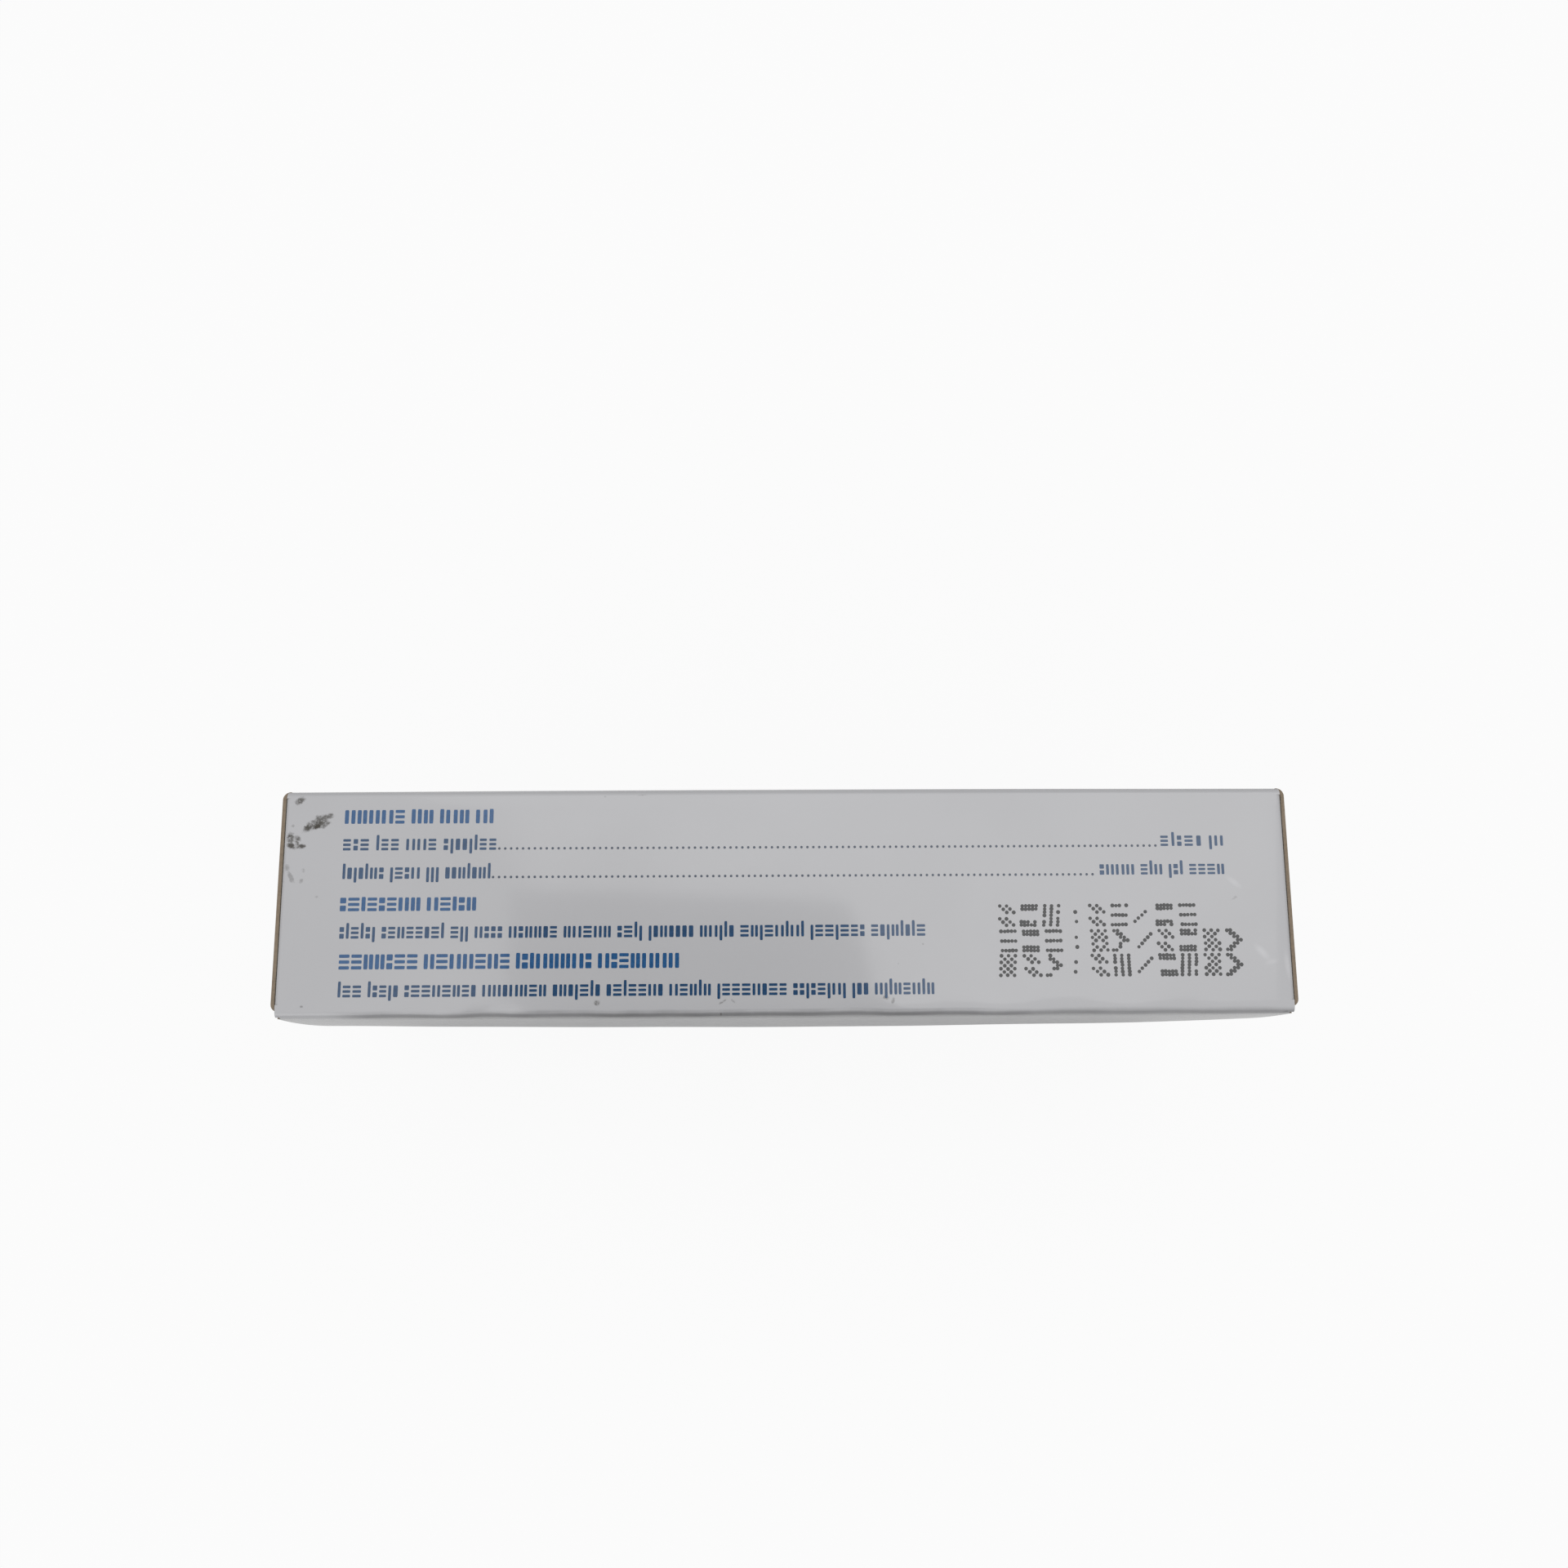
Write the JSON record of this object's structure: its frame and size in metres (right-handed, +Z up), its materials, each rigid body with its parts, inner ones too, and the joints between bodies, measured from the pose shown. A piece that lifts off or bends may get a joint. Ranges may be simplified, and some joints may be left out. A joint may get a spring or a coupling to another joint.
{
  "type": "box of tablets",
  "caption": "Flat folding carton with tuck flaps at both ends, holding blister cards of round scored tablets and a folded leaflet.",
  "frame": {"origin": "middle of the narrow long side that the box stands on", "axes": "+Z up over the box's depth, towards the narrow side that the picture shows; +X along the box; +Y through its thickness, towards the panel that carries the closures"},
  "size_m": [0.115, 0.0286, 0.05],
  "materials": {
    "carton_board": "glossy coated white board",
    "leaflet_paper": "thin uncoated paper",
    "clear_sheet": "clear formed sheet",
    "foil": "knurled lidding foil",
    "tablet": "pressed powder"
  },
  "bodies": {
    "carton": {"carton_sleeve": "carton_board", "leaflet": "leaflet_paper", "blister_tray_1": "clear_sheet", "lidding_foil_1": "foil", "blister_tray_2": "clear_sheet", "lidding_foil_2": "foil", "blister_tray_3": "clear_sheet", "lidding_foil_3": "foil", "tablet_01": "tablet", "tablet_02": "tablet", "tablet_03": "tablet", "tablet_04": "tablet", "tablet_05": "tablet", "tablet_06": "tablet", "tablet_07": "tablet", "tablet_08": "tablet", "tablet_09": "tablet", "tablet_10": "tablet", "tablet_11": "tablet", "tablet_12": "tablet", "tablet_13": "tablet", "tablet_14": "tablet", "tablet_15": "tablet", "tablet_16": "tablet", "tablet_17": "tablet", "tablet_18": "tablet", "tablet_19": "tablet", "tablet_20": "tablet", "tablet_21": "tablet", "tablet_22": "tablet", "tablet_23": "tablet", "tablet_24": "tablet", "tablet_25": "tablet", "tablet_26": "tablet", "tablet_27": "tablet", "tablet_28": "tablet", "tablet_29": "tablet", "tablet_30": "tablet"},
    "closure_left": {"closure_flap_left": "carton_board"},
    "closure_right": {"closure_flap_right": "carton_board"}
  },
  "joints": [
    {"name": "closure_left_hinge", "type": "hinge", "parent": "carton", "child": "closure_left", "pos_m": [-0.0575, 0.01275, 0.025], "axis": [0, 0, -1], "range_deg": [0, 150]},
    {"name": "closure_right_hinge", "type": "hinge", "parent": "carton", "child": "closure_right", "pos_m": [0.0575, 0.01275, 0.025], "axis": [0, 0, 1], "range_deg": [0, 150]}
  ]
}
